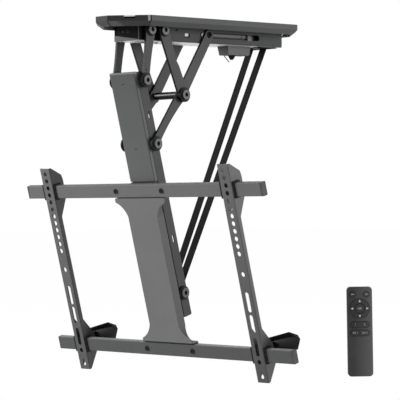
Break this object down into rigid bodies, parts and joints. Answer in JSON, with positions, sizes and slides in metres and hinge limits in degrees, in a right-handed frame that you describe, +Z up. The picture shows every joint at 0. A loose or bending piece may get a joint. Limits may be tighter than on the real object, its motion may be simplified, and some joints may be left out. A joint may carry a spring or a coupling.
{
  "type": "motorized tv ceiling mount",
  "caption": "Motorised flip-down ceiling mount for a flat TV: ceiling tray with strap drive, folding arms, mast with crossbars and sliding brackets, and a handset.",
  "frame": {"origin": "centre of the ceiling screw slots, on the top face of the ceiling plate", "axes": "+X sideways along the crossbars, +Y towards the drive end of the ceiling plate, away from where the screen faces, +Z up to the ceiling"},
  "size_m": [0.8427, 0.55, 0.7156],
  "materials": {
    "housing_paint": "fine texture powder coat",
    "frame_paint": "fine texture powder coat",
    "arm_paint": "fine texture powder coat",
    "bolt_steel": "satin",
    "rod_steel": "satin",
    "motor_steel": "satin",
    "black_plastic": "matte",
    "grey_plastic": "matte",
    "nylon": "matte",
    "strap_webbing": "woven",
    "led_red": "clear gloss",
    "handset_shell": "matte",
    "handset_keys": "matte"
  },
  "bodies": {
    "base": {"ceiling_plate": "housing_paint", "channel_housing": "housing_paint", "front_end_cap": "housing_paint", "status_led": "led_red", "power_socket": "black_plastic", "rear_end_plate": "housing_paint", "bottom_cover": "housing_paint", "housing_screws": "bolt_steel", "motor_tube": "motor_steel", "gearbox": "motor_steel", "drum_side_plates": "arm_paint", "limit_switch": "black_plastic", "control_box": "black_plastic", "receiver_clip": "black_plastic", "strap_guide": "black_plastic", "upper_pivot_bolts": "bolt_steel", "upper_pivot_bushes": "black_plastic", "handset_case": "handset_shell", "handset_back": "handset_shell"},
    "drum": {"strap_drum": "rod_steel"},
    "straps": {"strap_left": "strap_webbing", "strap_right": "strap_webbing"},
    "front_arms": {"front_arm_left": "arm_paint", "front_arm_right": "arm_paint", "front_arm_bushes": "black_plastic", "front_arm_bolts": "bolt_steel"},
    "rear_arms": {"rear_arm_left": "arm_paint", "rear_arm_right": "arm_paint", "cross_rod": "rod_steel", "rear_arm_bushes": "black_plastic", "rear_arm_bolts": "bolt_steel"},
    "scissor_arms": {"scissor_arm_left": "arm_paint", "scissor_arm_right": "arm_paint", "slide_pins": "bolt_steel"},
    "sliders": {"slider_blocks": "nylon"},
    "mast": {"mast_channel": "frame_paint", "mast_front_cover": "frame_paint", "cover_screws": "bolt_steel", "tv_panel": "frame_paint", "crossbar_upper": "frame_paint", "crossbar_lower": "frame_paint", "crossbar_end_caps": "grey_plastic", "crossbar_bolts": "bolt_steel", "strap_roller": "rod_steel", "strap_clamp": "frame_paint", "mast_pivot_bushes": "black_plastic", "mast_pivot_bolts": "bolt_steel"},
    "tv_bracket_left": {"bracket_left": "frame_paint", "bracket_inserts_left": "black_plastic"},
    "tv_bracket_right": {"bracket_right": "frame_paint", "bracket_inserts_right": "black_plastic"},
    "lock_left": {"lock_lever_left": "black_plastic"},
    "lock_right": {"lock_lever_right": "black_plastic"},
    "button_top_left": {"key_top_left": "handset_keys"},
    "button_top_right": {"key_top_right": "handset_keys"},
    "button_ring": {"key_ring": "handset_keys"},
    "button_ok": {"key_ok": "handset_keys"},
    "button_rocker_1": {"key_rocker_1": "handset_keys"},
    "button_rocker_2": {"key_rocker_2": "handset_keys"}
  },
  "joints": [
    {"name": "fold", "type": "hinge", "parent": "base", "child": "rear_arms", "pos_m": [0, -0.1495, -0.025], "axis": [1, 0, 0], "range_deg": [0, 50.93]},
    {"name": "scissor_turn", "type": "hinge", "parent": "rear_arms", "child": "scissor_arms", "pos_m": [0, -0.0976, -0.1517], "axis": [1, 0, 0], "range_deg": [-92.92, 0]},
    {"name": "mast_turn", "type": "hinge", "parent": "scissor_arms", "child": "mast", "pos_m": [0, -0.17352, -0.24909], "axis": [1, 0, 0], "range_deg": [0, 117.98]},
    {"name": "front_arm_turn", "type": "hinge", "parent": "base", "child": "front_arms", "pos_m": [0, -0.1835, -0.025], "axis": [1, 0, 0], "range_deg": [-46.43, 0]},
    {"name": "slider_travel", "type": "slide", "parent": "base", "child": "sliders", "axis": [0, 1, 0], "range_m": [0, 0.1401]},
    {"name": "drum_turn", "type": "hinge", "parent": "base", "child": "drum", "pos_m": [0, 0.174, -0.025], "axis": [1, 0, 0], "range_deg": [0, 2429.98]},
    {"name": "strap_swing", "type": "hinge", "parent": "base", "child": "straps", "pos_m": [0, 0.18171, -0.02903], "axis": [1, 0, 0], "range_deg": [0, 26.18], "deforming": ["strap_left", "strap_right"]},
    {"name": "bracket_left_slide", "type": "slide", "parent": "mast", "child": "tv_bracket_left", "axis": [1, 0, 0], "range_m": [-0.045, 0.095]},
    {"name": "bracket_right_slide", "type": "slide", "parent": "mast", "child": "tv_bracket_right", "axis": [1, 0, 0], "range_m": [-0.145, 0.062]},
    {"name": "lock_left_turn", "type": "hinge", "parent": "tv_bracket_left", "child": "lock_left", "pos_m": [-0.261, -0.08336, -0.65411], "axis": [1, 0, 0], "range_deg": [-60, 0]},
    {"name": "lock_right_turn", "type": "hinge", "parent": "tv_bracket_right", "child": "lock_right", "pos_m": [0.2445, -0.08336, -0.65411], "axis": [1, 0, 0], "range_deg": [-60, 0]},
    {"name": "top_left_press", "type": "slide", "parent": "base", "child": "button_top_left", "axis": [-0.6947, 0.7193, 0], "range_m": [0, 0.0009], "stiffness_N_per_m": 600},
    {"name": "top_right_press", "type": "slide", "parent": "base", "child": "button_top_right", "axis": [-0.6947, 0.7193, 0], "range_m": [0, 0.0009], "stiffness_N_per_m": 600},
    {"name": "ring_press", "type": "slide", "parent": "base", "child": "button_ring", "axis": [-0.6947, 0.7193, 0], "range_m": [0, 0.0009], "stiffness_N_per_m": 600},
    {"name": "ok_press", "type": "slide", "parent": "base", "child": "button_ok", "axis": [-0.6947, 0.7193, 0], "range_m": [0, 0.0009], "stiffness_N_per_m": 600},
    {"name": "rocker_1_tip", "type": "hinge", "parent": "base", "child": "button_rocker_1", "pos_m": [0.4949, -0.10448, -0.593], "axis": [0, 0, 1], "range_deg": [-4, 4], "stiffness_Nm_per_rad": 0.2},
    {"name": "rocker_2_tip", "type": "hinge", "parent": "base", "child": "button_rocker_2", "pos_m": [0.4949, -0.10448, -0.6082], "axis": [0, 0, 1], "range_deg": [-4, 4], "stiffness_Nm_per_rad": 0.2}
  ],
  "couplings": [
    {"joint": "scissor_turn", "follows": "fold", "ratio": -1.8243},
    {"joint": "mast_turn", "follows": "fold", "ratio": 2.3165},
    {"joint": "front_arm_turn", "follows": "fold", "ratio": -0.91149},
    {"joint": "slider_travel", "follows": "fold", "m_per_rad": 0.15738},
    {"joint": "drum_turn", "follows": "fold", "ratio": 47.712},
    {"joint": "strap_swing", "follows": "fold", "ratio": 0.51398}
  ]
}
